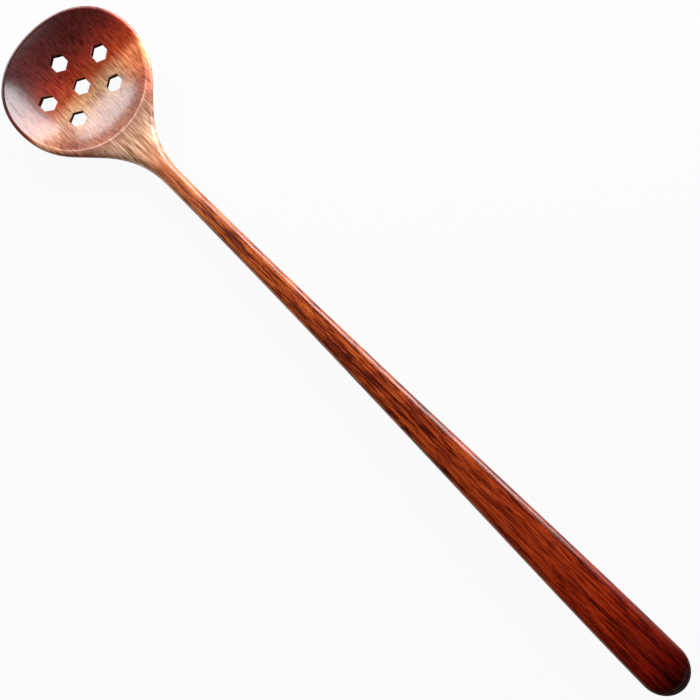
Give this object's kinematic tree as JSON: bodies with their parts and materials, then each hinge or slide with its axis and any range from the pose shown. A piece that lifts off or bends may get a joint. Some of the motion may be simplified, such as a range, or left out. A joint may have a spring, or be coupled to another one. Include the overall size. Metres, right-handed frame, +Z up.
{
  "type": "slotted spoon",
  "caption": "Long-handled wooden spoon with a round, shallow bowl pierced by hexagonal drain holes, carved in one piece with a slim neck and a handle that widens to a rounded grip.",
  "frame": {"origin": "on the table, under the middle of the spoon's box, with the spoon resting on the flat under its bowl and on the end of its handle", "axes": "+X from the bowl towards the end of the handle, +Z up, out of the open bowl, and the spoon is symmetric about Y = 0"},
  "size_m": [0.4086, 0.067, 0.0169],
  "materials": {
    "lacquered_wood": "clear gloss lacquer over straight-grained reddish-brown wood"
  },
  "bodies": {
    "root": {"spoon": "lacquered_wood"}
  },
  "joints": []
}
